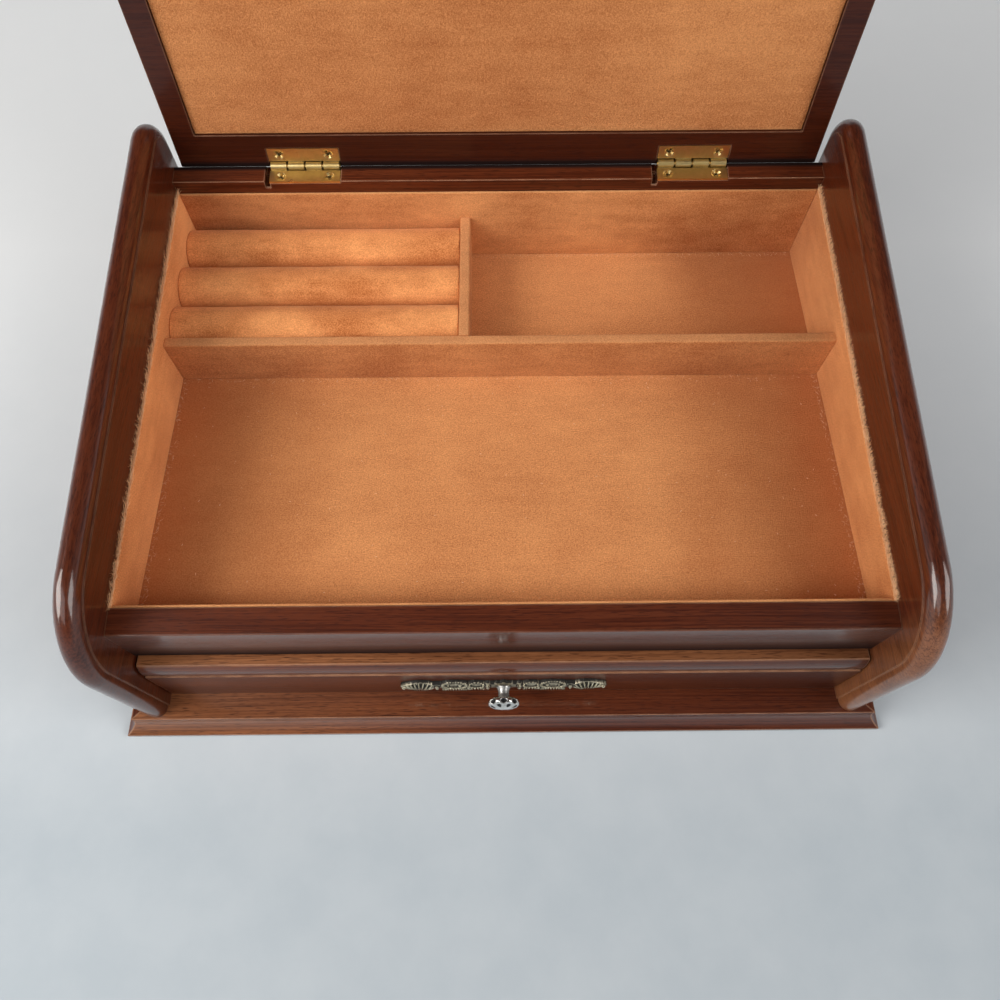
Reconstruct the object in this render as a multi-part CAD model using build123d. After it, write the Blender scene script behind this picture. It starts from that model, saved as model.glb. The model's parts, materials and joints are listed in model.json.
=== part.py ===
from build123d import *
import os
from math import cos, radians, tan

# Valet box: a moulded base, two shaped side panels, a lined tray under a slanted lid, and one drawer.
# Sizes are in millimetres and angles in degrees. X runs to the right, Y to the back and Z up.
# The origin is the middle of the underside, and the lid is modelled open, leaning on its stop.

# Tray, the inside of the upper box
tray_width = 280.0
tray_depth = 181.5
tray_floor_thickness = 6.0
lining = 1.2
lining_rear_drop = 5.8
lining_front_drop = 0.4
divider_height = 24.0
divider_thickness = 4.6
divider_round = 1.0
rear_compartment_depth = 66.3
short_divider_place = -15.3

# Ring rolls in the left rear compartment
roll_count = 3
roll_gap = 0.3
roll_end_bevel = 1.8
roll_foot_share = 0.84
roll_belly_share = 0.97
roll_belly_height_share = 0.42

# Case boards
panel_thickness = 10.0
wall_thickness = 10.0
panel_rise = 23.4
panel_front_reach = 15.9
panel_rear_reach = 6.0
panel_rear_corner = 14.0
panel_front_corner = 36.0
edge_width = 5.2
edge_round_share = 0.97
quirk_depth = 0.6
arris = 0.5

# Lid and its seat, which slopes down to the front
seat_slope = 7.24
hinge_height = 44.8
hinge_inset = 2.0
lid_opening = 103.6
lid_thickness = 15.0
lid_side_gap = 3.4
lid_overhang = 4.0
lid_side_border = 10.0
lid_hinge_border = 14.4
lid_front_border = 14.4
lid_recess = 2.4
lid_front_round = 6.0
lid_gap = 0.25
stop_gap = 0.2

# Base
base_thickness = 12.6
base_side_margin = 10.1
base_end_margin = 5.6
base_edge_run = 4.8
base_edge_step = 2.8
base_foot = 2.2
base_hollow = 1.2
base_strip_width = 32.0
felt_thickness = 1.0
felt_margin = 7.0

# Drawer
bay_height = 40.4
wall_drop = 0.4
drawer_top_gap = 0.8
drawer_side_gap = 0.7
slide_gap = 0.3
drawer_proud = 6.1
drawer_front_thickness = 13.0
ovolo_depth = 2.4
ovolo_height = 9.6
ovolo_fillet = 0.7
ovolo_bulge_shares = (0.3, 0.72)
drawer_side_thickness = 6.0
drawer_back_thickness = 6.0
drawer_side_height = 30.0
drawer_bottom_thickness = 3.0
drawer_bottom_lift = 2.0
drawer_groove = 2.5

# Butt hinges
hinge_spacing = 168.0
hinge_width = 30.5
leaf_reach = 8.2
leaf_thickness = 1.0
barrel_radius = 2.0
pin_radius = 1.0
pin_clearance = 0.05
pin_end_gap = 0.2
knuckle_count = 4
knuckle_gap = 0.9
barrel_clearance = 0.35
mortise_clearance = 0.2
mortise_slack = 2.2
mortise_slack_depth = 3.6

# Countersunk screws of the hinge leaves
screw_spacing = 21.0
screw_setback = 5.4
screw_head_radius = 2.3
screw_radius = 1.1
screw_length = 8.0
screw_clearance = 0.05
screw_sides = 10

# Ornamental backplate, in the middle of the drawer front
plate_width = 84.0
plate_height = 11.0
plate_lift = 17.1
plate_thickness = 0.9
boss_radius = 4.6
boss_height = 2.2
boss_rim = 0.8
boss_sides = 12
scroll_width = 1.9
scroll_steps = 6
bead_radius = 1.5
bead_height = 3.0
bead_top_share = 0.45
bead_sides = 8
palm_width = 3.2
leaf_width = 2.8
petal_belly_share = 0.42
petal_rise = 2.4
scroll_rise = 1.6

# Knob and its screw
knob_radius = 6.4
knob_head_depth = 4.7
knob_projection = 11.2
knob_neck_radius = 2.3
knob_foot_radius = 3.3
knob_foot_depth = 1.0
knob_flutes = 8
knob_rim_shares = (0.3, 0.56)
knob_crown_shares = (0.86, 0.55)
lobe_shares = (0.82, 0.94, 1.0, 0.94)
knob_bore_share = 0.55
knob_screw_radius = 1.5
knob_screw_head_radius = 3.2
knob_screw_head_depth = 1.8
knob_screw_clearance = 0.1

# How far a cut runs past the face that it opens
overrun = 1.0

# The base follows what stands on it
base_width = tray_width + 2 * (lining + panel_thickness + base_side_margin)
case_depth = tray_depth + 2 * (lining + wall_thickness)
base_depth = case_depth + panel_front_reach + panel_rear_reach + 2 * base_end_margin

# Heights
base_z = felt_thickness
bay_z = base_z + base_thickness
tray_under_z = bay_z + bay_height
floor_top_z = tray_under_z + tray_floor_thickness
tray_z = floor_top_z + lining
wall_bottom_z = tray_under_z - wall_drop
axis_z = tray_z + hinge_height
drawer_low_z = bay_z + slide_gap
drawer_top_z = wall_bottom_z - drawer_top_gap

# Places along the depth
panel_rear_y = base_depth / 2 - base_end_margin
back_y = panel_rear_y - panel_rear_reach
rear_face_y = back_y - wall_thickness
tray_rear_y = rear_face_y - lining
tray_front_y = tray_rear_y - tray_depth
front_face_y = tray_front_y - lining
front_y = front_face_y - wall_thickness
panel_front_y = front_y - panel_front_reach
axis_y = back_y - hinge_inset
drawer_face_y = front_y - drawer_proud
drawer_joint_y = drawer_face_y + drawer_front_thickness
drawer_rear_y = rear_face_y - slide_gap
long_divider_y = tray_rear_y - rear_compartment_depth

# Places across the width
tray_x = tray_width / 2
panel_x = tray_x + lining
lid_x = panel_x - lid_side_gap
drawer_x = panel_x - drawer_side_gap
drawer_inside_x = drawer_x - drawer_side_thickness
roll_right_x = short_divider_place - divider_thickness / 2
hinge_places = [-hinge_spacing / 2, hinge_spacing / 2]

# Shared frames: one lies on the closed lid's seat, one turns with the open lid, one faces out of the drawer
seat_frame = Pos(0, axis_y, axis_z) * Rot(seat_slope, 0, 0)
lid_frame = Pos(0, axis_y, axis_z) * Rot(seat_slope - lid_opening, 0, 0)
plate_z = drawer_low_z + plate_lift
plate_frame = Plane(origin=(0, drawer_face_y, plate_z), x_dir=(1, 0, 0), z_dir=(0, -1, 0))

lid_length = (axis_y - front_y) / cos(radians(seat_slope)) + lid_overhang
half_gap = lid_gap / 2
barrel_room = barrel_radius + barrel_clearance


def seat_z(y, rise=0):
    # height of a plane parallel to the lid seat and standing off it by rise
    return axis_z + (y - axis_y) * tan(radians(seat_slope)) + (rise - half_gap) / cos(radians(seat_slope))


def lining_z(y):
    # height of the linings' top edge, which lies deeper under the seat at the rear
    rear_share = (y - front_face_y) / (rear_face_y - front_face_y)
    return seat_z(y, -lining_front_drop - (lining_rear_drop - lining_front_drop) * rear_share)


def block(x_span, y_span, z_span):
    spans = (x_span, y_span, z_span)
    corner = Pos(*[span[0] for span in spans])
    return corner * Box(*[span[1] - span[0] for span in spans], align=(Align.MIN, Align.MIN, Align.MIN))


def profile_board(face, x_span):
    # a board whose side profile is drawn in Y and Z
    placed = Plane.YZ.offset(x_span[0]) * face
    return extrude(placed, amount=x_span[1] - x_span[0], dir=(1, 0, 0))


def outlined_board(corners, x_span):
    return profile_board(make_face(Polyline(*corners, close=True)), x_span)


def rod(radius, x_span):
    return profile_board(Circle(radius), x_span)


def mirrored(shape):
    return mirror(shape, about=Plane.YZ)


# A screw points down from a head that is flush with the leaf it holds
def frustum(low_radius, high_radius, height, sides):
    # a small cone or rod with flat sides, which stands on the XY plane
    low = RegularPolygon(low_radius, sides)
    high = Pos(0, 0, height) * RegularPolygon(high_radius, sides)
    return loft([low.face(), high.face()], ruled=True)


def leaf_screw(clearance=0):
    shank = screw_radius + clearance
    depth = screw_length - leaf_thickness + clearance
    head = frustum(shank, screw_head_radius + clearance, leaf_thickness, screw_sides)
    body = Pos(0, 0, -depth) * frustum(shank, shank, depth, screw_sides)
    return Pos(0, 0, -leaf_thickness) * (head + body)


# Base: four mitred strips round a panel, on felt
def strip_profile():
    # drawn outwards from the strip's inner edge: a flat top, a small step, a hollow and a thin foot
    edge = base_strip_width - base_edge_run
    step_z = base_thickness - base_edge_step
    line = Polyline((base_strip_width, base_foot), (base_strip_width, 0), (0, 0), (0, base_thickness),
                    (edge, base_thickness), (edge, step_z))
    hollow = SagittaArc((edge, step_z), (base_strip_width, base_foot), -base_hollow)
    return make_face(line + hollow)


def mitred_strip(length):
    # runs along X with its moulded edge facing the viewer, its outer edge on the X axis
    end = Plane(origin=(-length / 2, base_strip_width, base_z), x_dir=(0, -1, 0), z_dir=(-1, 0, 0))
    bar = extrude(end * strip_profile(), amount=length, dir=(1, 0, 0))
    half = length / 2
    inner = half - base_strip_width
    plan = make_face(Polyline((-half, 0), (half, 0), (inner, base_strip_width), (-inner, base_strip_width),
                              close=True))
    return bar & extrude(Pos(0, 0, base_z) * plan, amount=base_thickness)


def base_strips():
    front = Pos(0, -base_depth / 2, 0) * mitred_strip(base_width)
    side = Rot(0, 0, 90) * Pos(0, -base_width / 2, 0) * mitred_strip(base_depth)
    return {
        "base_front_strip": front,
        "base_rear_strip": Rot(0, 0, 180) * front,
        "base_right_strip": side,
        "base_left_strip": Rot(0, 0, 180) * side,
    }


def base_panel():
    x_reach = base_width / 2 - base_strip_width
    y_reach = base_depth / 2 - base_strip_width
    return block((-x_reach, x_reach), (-y_reach, y_reach), (base_z, bay_z))


def base_felt():
    x_reach = base_width / 2 - felt_margin
    y_reach = base_depth / 2 - felt_margin
    return block((-x_reach, x_reach), (-y_reach, y_reach), (0, felt_thickness))


# Side panels: a raised field, a quirk, and a rounded edge that runs up the front, over and down the rear
def panel_outline(inset):
    front = panel_front_y + inset
    rear = panel_rear_y - inset
    rise = panel_rise - inset
    corners = [(front, bay_z), (front, seat_z(front, rise)), (rear, seat_z(rear, rise)), (rear, bay_z)]
    radii = [panel_front_corner - inset, panel_rear_corner - inset]
    return make_face(FilletPolyline(*corners, radius=radii) + Line(corners[-1], corners[0]))


def right_side_panel():
    field = profile_board(panel_outline(edge_width), (panel_x, panel_x + panel_thickness))
    rim = profile_board(panel_outline(0), (panel_x + quirk_depth, panel_x + panel_thickness - quirk_depth))
    long_edges = rim.edges().filter_by(Axis.X, reverse=True)
    rounded = [edge for edge in long_edges if edge.bounding_box().max.Z > bay_z + overrun]
    edge_round = (panel_thickness / 2 - quirk_depth) * edge_round_share
    return fillet(rounded, edge_round) + field


# Walls and floor of the tray
def front_wall():
    wall = outlined_board([(front_y, wall_bottom_z), (front_face_y, wall_bottom_z),
                           (front_face_y, seat_z(front_face_y)), (front_y, seat_z(front_y))],
                          (-panel_x, panel_x))
    front_edges = wall.edges().filter_by(Axis.X).group_by(Axis.Y)[0]
    return fillet(front_edges, arris)


def leaf_rooms(left_room):
    # the mortises of both hinges, drawn in the seat's frame below it, open to the front and the back
    half = hinge_width / 2
    leaf_low = -half_gap - leaf_thickness
    rooms = []
    for place in hinge_places:
        x_span = (place - half - left_room, place + half + mortise_clearance)
        leaf_span = (-leaf_reach - mortise_clearance, -barrel_room)
        rooms.append(block(x_span, leaf_span, (leaf_low, overrun)))
        rooms.append(block(x_span, (-barrel_room - overrun, hinge_inset + overrun), (-barrel_room, overrun)))
        for screw_x in screw_places(place):
            rooms.append(Pos(screw_x, -screw_setback, -half_gap) * leaf_screw(screw_clearance))
    return rooms


def slack_rooms():
    # the box leaves' mortises are cut too long, and deeper there: a dark slot at each leaf's left end
    span = (-leaf_reach - mortise_clearance, -barrel_room)
    ends = [place - hinge_width / 2 for place in hinge_places]
    return [block((end - mortise_slack, end), span, (-mortise_slack_depth, overrun)) for end in ends]


def screw_places(place):
    return [place - screw_spacing / 2, place + screw_spacing / 2]


def stop_bevel():
    # half of the wedge that the lid swings through behind the hinge axis, drawn in the seat's frame
    reach = panel_x + overrun
    depth = hinge_inset + barrel_room + overrun
    wedge = block((-reach, reach), (-overrun, depth), (-stop_gap / 2, depth))
    return Rot(-lid_opening / 2, 0, 0) * wedge


def rear_wall():
    wall = outlined_board([(rear_face_y, bay_z), (back_y, bay_z), (back_y, seat_z(back_y)),
                           (rear_face_y, seat_z(rear_face_y))], (-panel_x, panel_x))
    wall -= seat_frame * stop_bevel()
    for room in leaf_rooms(mortise_slack) + slack_rooms():
        wall -= seat_frame * room
    return wall


def tray_floor():
    return block((-panel_x, panel_x), (front_face_y, rear_face_y), (tray_under_z, floor_top_z))


# Suede-covered linings and dividers
def floor_lining():
    return block((-panel_x, panel_x), (front_face_y, rear_face_y), (floor_top_z, tray_z))


def right_lining():
    corners = [(front_face_y, tray_z), (rear_face_y, tray_z), (rear_face_y, lining_z(rear_face_y)),
               (front_face_y, lining_z(front_face_y))]
    return outlined_board(corners, (tray_x, panel_x))


def end_lining(inner_y, outer_y):
    corners = [(inner_y, tray_z), (outer_y, tray_z), (outer_y, lining_z(outer_y)),
               (inner_y, lining_z(inner_y))]
    return outlined_board(corners, (-tray_x, tray_x))


def divider(x_span, y_span, run):
    wall = block(x_span, y_span, (tray_z, tray_z + divider_height))
    return fillet(wall.edges().filter_by(run).group_by(Axis.Z)[-1], divider_round)


def long_divider():
    return divider((-tray_x, tray_x), (long_divider_y - divider_thickness, long_divider_y), Axis.X)


def short_divider():
    half = divider_thickness / 2
    x_span = (short_divider_place - half, short_divider_place + half)
    return divider(x_span, (long_divider_y, tray_rear_y), Axis.Y)


def ring_roll(index):
    # a foam roll with a round crown and sides that draw in to a narrower foot
    pitch = rear_compartment_depth / roll_count
    radius = (pitch - roll_gap) / 2
    middle = tray_rear_y - pitch * (index + 0.5)
    crown_z = tray_z + divider_height - radius
    foot = radius * roll_foot_share
    belly = radius * roll_belly_share
    belly_z = tray_z + (crown_z - tray_z) * roll_belly_height_share
    crown = ThreePointArc((middle - radius, crown_z), (middle, crown_z + radius), (middle + radius, crown_z))
    rear = ThreePointArc((middle + radius, crown_z), (middle + belly, belly_z), (middle + foot, tray_z))
    base = Line((middle + foot, tray_z), (middle - foot, tray_z))
    front = ThreePointArc((middle - foot, tray_z), (middle - belly, belly_z), (middle - radius, crown_z))
    outline = make_face(crown + rear + base + front)
    roll = profile_board(outline, (-tray_x + roll_gap, roll_right_x - roll_gap))
    ends = [edge for edge in roll.edges().filter_by(Axis.X, reverse=True)
            if edge.bounding_box().max.Z > tray_z + overrun]
    return chamfer(ends, roll_end_bevel)


# Hinges, drawn in the seat's frame with the box leaf below the seat
def knuckle_spans(place, parity):
    pitch = hinge_width / knuckle_count
    left = place - hinge_width / 2
    trim = knuckle_gap / 2
    return [(left + pitch * i + trim, left + pitch * (i + 1) - trim)
            for i in range(knuckle_count) if i % 2 == parity]


def hinge_leaf(place, parity):
    half = hinge_width / 2
    z_span = (-half_gap - leaf_thickness, -half_gap)
    bore = pin_radius + pin_clearance
    tongue_in = (bore + barrel_radius) / 2
    leaf = block((place - half, place + half), (-leaf_reach, -barrel_room), z_span)
    for span in knuckle_spans(place, parity):
        leaf += block(span, (-barrel_room, -tongue_in), z_span)
        leaf += rod(barrel_radius, span)
        leaf -= rod(bore, (span[0] - overrun, span[1] + overrun))
    for screw_x in screw_places(place):
        leaf -= Pos(screw_x, -screw_setback, -half_gap) * leaf_screw(screw_clearance)
    return leaf


def hinge_pin(place):
    half = hinge_width / 2 - pin_end_gap
    return rod(pin_radius, (place - half, place + half))


def leaf_screws():
    places = [screw_x for place in hinge_places for screw_x in screw_places(place)]
    return [Pos(screw_x, -screw_setback, -half_gap) * leaf_screw() for screw_x in places]


def over(shape):
    # turns a shape of the box leaf's side into the lid's: the same, above the seat
    return mirror(shape, about=Plane.XY)


# Lid, drawn closed in the seat's frame
def lid_board():
    low = half_gap
    lid = block((-lid_x, lid_x), (-lid_length, hinge_inset), (low, low + lid_thickness))
    front_edge = lid.edges().filter_by(Axis.X).group_by(Axis.Y)[0].sort_by(Axis.Z)[-1]
    lid = fillet(front_edge, lid_front_round)
    lid = fillet(lid.edges().filter_by(Axis.Y).group_by(Axis.Z)[-1], arris)
    lid -= block((-lid_x + lid_side_border, lid_x - lid_side_border),
                 (-lid_length + lid_front_border, -lid_hinge_border), (low - overrun, low + lid_recess))
    lid -= over(stop_bevel())
    for room in leaf_rooms(mortise_clearance):
        lid -= over(room)
    return lid


def lid_lining():
    high = half_gap + lid_recess
    reach = lid_x - lid_side_border
    return block((-reach, reach), (-lid_length + lid_front_border, -lid_hinge_border), (high - lining, high))


# Drawer
def drawer_front():
    top = drawer_top_z
    ledge_y = drawer_face_y + ovolo_fillet
    strip_y = drawer_face_y + ovolo_depth
    ledge_z = top - ovolo_height
    bulge_y = strip_y - (strip_y - ledge_y) * ovolo_bulge_shares[1]
    bulge_z = top - ovolo_height * ovolo_bulge_shares[0]
    line = Polyline((ledge_y, ledge_z), (drawer_face_y, ledge_z), (drawer_face_y, drawer_low_z),
                    (drawer_joint_y, drawer_low_z), (drawer_joint_y, top), (strip_y, top))
    ovolo = ThreePointArc((strip_y, top), (bulge_y, bulge_z), (ledge_y, ledge_z))
    front = profile_board(make_face(line + ovolo), (-drawer_x, drawer_x))
    front -= drawer_groove_room()
    front -= knob_hole(drawer_front_thickness + overrun)
    return front


def drawer_floor_span():
    low = drawer_low_z + drawer_bottom_lift
    return (low, low + drawer_bottom_thickness)


def drawer_groove_room():
    # the space of the drawer bottom, let into the front and both sides
    reach = drawer_inside_x + drawer_groove
    return block((-reach, reach), (drawer_joint_y - drawer_groove, drawer_rear_y), drawer_floor_span())


def drawer_right_side():
    side = block((drawer_inside_x, drawer_x), (drawer_joint_y, drawer_rear_y),
                 (drawer_low_z, drawer_low_z + drawer_side_height))
    side = fillet(side.edges().filter_by(Axis.Y).group_by(Axis.Z)[-1], arris)
    return side - drawer_groove_room()


def drawer_back():
    return block((-drawer_inside_x, drawer_inside_x), (drawer_rear_y - drawer_back_thickness, drawer_rear_y),
                 (drawer_floor_span()[1], drawer_low_z + drawer_side_height))


def drawer_lining():
    low = drawer_floor_span()[1]
    rear = drawer_rear_y - drawer_back_thickness
    return block((-drawer_inside_x, drawer_inside_x), (drawer_joint_y, rear), (low, low + lining))


# Cast furniture of the drawer, drawn facing out of the drawer's face
def knob_hole(depth):
    return plate_frame * (Pos(0, 0, -depth) * Cylinder(knob_screw_radius + knob_screw_clearance,
                                                       depth + knob_projection * knob_bore_share,
                                                       align=(Align.CENTER, Align.CENTER, Align.MIN)))


def ridge(width):
    # cross-section of a cast scroll: flat sides and a crest, on the plate's back
    half = width / 2
    shoulder = plate_thickness
    points = [(-half, 0), (half, 0), (half, shoulder), (0, shoulder + scroll_rise), (-half, shoulder)]
    return make_face(Polyline(*points, close=True))


def petal(length, width):
    # a pointed leaf along X from the origin, whose crest rises from both ends to its widest place
    half = width / 2
    belly = length * petal_belly_share
    outline = make_face(Polyline((0, 0), (belly, half), (length, 0), (belly, -half), close=True))
    top = Vertex(belly, 0, plate_thickness + petal_rise)
    crest = loft([Pos(0, 0, plate_thickness) * outline.face(), top], ruled=True)
    return extrude(outline, amount=plate_thickness) + crest


def bead(place):
    return Pos(*place) * frustum(bead_radius, bead_radius * bead_top_share, bead_height, bead_sides)


def scroll(start, middle, end):
    # a crested band along an arc, with a bead curled in at its end
    arc = ThreePointArc(start, middle, end)
    path = Polyline(*[arc @ (i / scroll_steps) for i in range(scroll_steps + 1)])
    run = path % 0
    section = Plane(origin=path @ 0, x_dir=Vector(0, 0, 1).cross(run), z_dir=run)
    return [sweep(section * ridge(scroll_width), path=path, transition=Transition.RIGHT), bead(end)]


# Places on the right half of the backplate, as shares of half its width and half its height
scroll_place_shares = [
    [(0.62, 0.1), (0.47, 0.86), (0.33, 0.3)],
    [(0.62, -0.1), (0.47, -0.86), (0.33, -0.3)],
    [(0.35, 0.12), (0.24, 0.66), (0.15, 0.3)],
    [(0.35, -0.12), (0.24, -0.66), (0.15, -0.3)],
]
palm_root_share = 0.64
palm_start_share = 0.02
palm_angles = (-60, -30, 0, 30, 60)
palm_length_shares = (0.14, 0.25, 0.36, 0.25, 0.14)
leaf_start_share = 0.085
leaf_angles = (-64, -32, 32, 64)
leaf_length_shares = (0.15, 0.19, 0.19, 0.15)
web_edge_shares = [(0, 0.5), (0.14, 0.5), (0.3, 0.24), (0.6, 0.24), (0.72, 0.4), (0.86, 0.16)]


def plate_half():
    # the pieces of the right half, which are all cast in one with the boss
    half_width = plate_width / 2
    half_height = plate_height / 2
    upper = [(x * half_width, y * half_height) for x, y in web_edge_shares]
    lower = [(x, -y) for x, y in reversed(upper)]
    web = make_face(Polyline(*upper, *lower, close=True))
    pieces = [extrude(web, amount=plate_thickness)]
    for shares in scroll_place_shares:
        pieces += scroll(*[(x * half_width, y * half_height) for x, y in shares])
    palm = Pos(palm_root_share * half_width, 0, 0)
    pieces.append(palm * bead((0, 0)))
    for angle, share in zip(palm_angles, palm_length_shares):
        leaf = petal((share - palm_start_share) * half_width, palm_width)
        pieces.append(palm * Rot(0, 0, angle) * Pos(palm_start_share * half_width, 0, 0) * leaf)
    for angle, share in zip(leaf_angles, leaf_length_shares):
        leaf = petal((share - leaf_start_share) * half_width, leaf_width)
        pieces.append(Rot(0, 0, angle) * Pos(leaf_start_share * half_width, 0, 0) * leaf)
    return pieces


def drawer_backplate():
    boss = frustum(boss_radius, boss_radius - boss_rim, boss_height, boss_sides)
    half = plate_half()
    plate = boss + half + [mirrored(piece) for piece in half]
    return plate_frame * plate - knob_hole(overrun)


def lobed(radius, height):
    # cross-section of the fluted knob, with a hollow on top
    count = knob_flutes * len(lobe_shares)
    shares = [lobe_shares[i % len(lobe_shares)] for i in range(count)]
    points = [Vector(radius * share, 0, height).rotate(Axis.Z, 360 * i / count)
              for i, share in enumerate(shares)]
    return make_face(Polyline(*points, close=True)).face()


def drawer_knob():
    neck_start = boss_height + knob_foot_depth
    back = knob_projection - knob_head_depth
    rim_low = back + knob_head_depth * knob_rim_shares[0]
    rim_high = back + knob_head_depth * knob_rim_shares[1]
    crown = (rim_high + knob_projection) / 2
    sections = [
        (knob_foot_radius, boss_height), (knob_foot_radius, neck_start),
        (knob_neck_radius, (neck_start + back) / 2), (knob_foot_radius, back),
        (knob_radius, rim_low), (knob_radius, rim_high),
        (knob_radius * knob_crown_shares[0], crown), (knob_radius * knob_crown_shares[1], knob_projection),
    ]
    knob = loft([lobed(radius, height) for radius, height in sections], ruled=True)
    return plate_frame * knob - knob_hole(overrun)


def knob_screw():
    head_low = -drawer_front_thickness - knob_screw_head_depth
    reach = knob_projection * knob_bore_share - overrun
    head = Pos(0, 0, head_low) * Cylinder(knob_screw_head_radius, knob_screw_head_depth,
                                          align=(Align.CENTER, Align.CENTER, Align.MIN))
    head = chamfer(head.edges().group_by(Axis.Z)[0], knob_screw_head_depth / 2)
    shank = Pos(0, 0, -drawer_front_thickness) * Cylinder(knob_screw_radius, drawer_front_thickness + reach,
                                                          align=(Align.CENTER, Align.CENTER, Align.MIN))
    return plate_frame * (head + shank)


def build_case():
    parts = base_strips()
    parts["base_panel"] = base_panel()
    parts["base_felt"] = base_felt()
    parts["right_side_panel"] = right_side_panel()
    parts["left_side_panel"] = mirrored(parts["right_side_panel"])
    parts["front_wall"] = front_wall()
    parts["rear_wall"] = rear_wall()
    parts["tray_floor"] = tray_floor()
    parts["floor_lining"] = floor_lining()
    parts["right_lining"] = right_lining()
    parts["left_lining"] = mirrored(parts["right_lining"])
    parts["rear_lining"] = end_lining(tray_rear_y, rear_face_y)
    parts["front_lining"] = end_lining(tray_front_y, front_face_y)
    parts["long_divider"] = long_divider()
    parts["short_divider"] = short_divider()
    for index, name in enumerate(("rear", "middle", "front")[:roll_count]):
        parts["ring_roll_" + name] = ring_roll(index)
    return parts


def build_hinges():
    parts = {}
    for side, place in zip(("left", "right"), hinge_places):
        parts[side + "_hinge_box_leaf"] = seat_frame * hinge_leaf(place, 0)
        parts[side + "_hinge_pin"] = seat_frame * hinge_pin(place)
        parts[side + "_hinge_lid_leaf"] = lid_frame * over(hinge_leaf(place, 1))
    parts["box_leaf_screws"] = Compound(children=[seat_frame * item for item in leaf_screws()])
    parts["lid_leaf_screws"] = Compound(children=[lid_frame * over(item) for item in leaf_screws()])
    return parts


def build_lid():
    return {"lid_board": lid_frame * lid_board(), "lid_lining": lid_frame * lid_lining()}


def build_drawer():
    side = drawer_right_side()
    return {
        "drawer_front": drawer_front(),
        "drawer_right_side": side,
        "drawer_left_side": mirrored(side),
        "drawer_back": drawer_back(),
        "drawer_bottom": drawer_groove_room(),
        "drawer_lining": drawer_lining(),
        "drawer_backplate": drawer_backplate(),
        "drawer_knob": drawer_knob(),
        "knob_screw": knob_screw(),
    }


os.makedirs("parts", exist_ok=True)
for group in (build_case(), build_hinges(), build_lid(), build_drawer()):
    for node, shape in group.items():
        export_step(shape, "parts/" + node + ".step")
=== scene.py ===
import json
import math

import bmesh
import bpy
import numpy as np
from mathutils import Matrix, Vector, noise


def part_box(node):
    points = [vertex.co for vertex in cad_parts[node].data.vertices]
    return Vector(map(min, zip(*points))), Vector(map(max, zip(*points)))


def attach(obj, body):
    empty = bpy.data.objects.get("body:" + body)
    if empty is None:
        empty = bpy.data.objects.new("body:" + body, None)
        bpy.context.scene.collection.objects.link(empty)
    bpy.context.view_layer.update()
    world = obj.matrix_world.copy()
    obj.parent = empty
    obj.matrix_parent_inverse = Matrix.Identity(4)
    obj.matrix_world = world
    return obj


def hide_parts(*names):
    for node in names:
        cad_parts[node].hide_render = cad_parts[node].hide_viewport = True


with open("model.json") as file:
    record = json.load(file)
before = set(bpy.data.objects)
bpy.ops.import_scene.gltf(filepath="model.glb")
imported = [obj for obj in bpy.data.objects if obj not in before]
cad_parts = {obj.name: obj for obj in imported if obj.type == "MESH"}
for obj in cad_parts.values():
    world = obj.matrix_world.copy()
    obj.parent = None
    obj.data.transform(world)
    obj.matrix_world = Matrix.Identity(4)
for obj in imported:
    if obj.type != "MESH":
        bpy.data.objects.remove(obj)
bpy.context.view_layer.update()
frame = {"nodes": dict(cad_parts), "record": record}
scene = bpy.context.scene
scene.view_settings.view_transform = "Standard"
print("frame loaded,", len(frame["nodes"]), "nodes")


def addObject(name, data):
    item = bpy.data.objects.new(name, data)
    scene.collection.objects.link(item)
    return item


def addShape(name, shape, smooth=True):
    for face in shape.faces:
        face.smooth = smooth
    mesh = bpy.data.meshes.new(name)
    shape.to_mesh(mesh)
    shape.free()
    return addObject(name, mesh)


# The camera stands where the photograph was taken: above the front edge, looking steeply down into the tray
photoView = {
    "place": (-0.0019, -0.1756, 0.3502),
    "pitch": 1.1201,
    "yaw": 0.0079,
    "roll": -0.0017,
    "focalPixels": 785,
    "framePixels": 1000,
    "sensor": 36,
    "clipStart": 0.01,
}


def buildCamera():
    lens = bpy.data.cameras.new("photoCamera")
    lens.sensor_width = photoView["sensor"]
    lens.lens = photoView["focalPixels"] / photoView["framePixels"] * photoView["sensor"]
    lens.clip_start = photoView["clipStart"]
    camera = addObject("photoCamera", lens)
    pitch, yaw, roll = (photoView[key] for key in ("pitch", "yaw", "roll"))
    ahead = Vector((math.sin(yaw) * math.cos(pitch), math.cos(yaw) * math.cos(pitch), -math.sin(pitch)))
    right = Vector((math.cos(yaw), -math.sin(yaw), 0))
    up = right.cross(ahead)
    turned = Matrix.Rotation(-roll, 3, ahead)
    camera.matrix_world = Matrix((turned @ right, turned @ up, -ahead)).transposed().to_4x4()
    camera.matrix_world.translation = photoView["place"]
    scene.camera = camera


buildCamera()
print("camera placed")


nodeSpacing = 190


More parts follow.
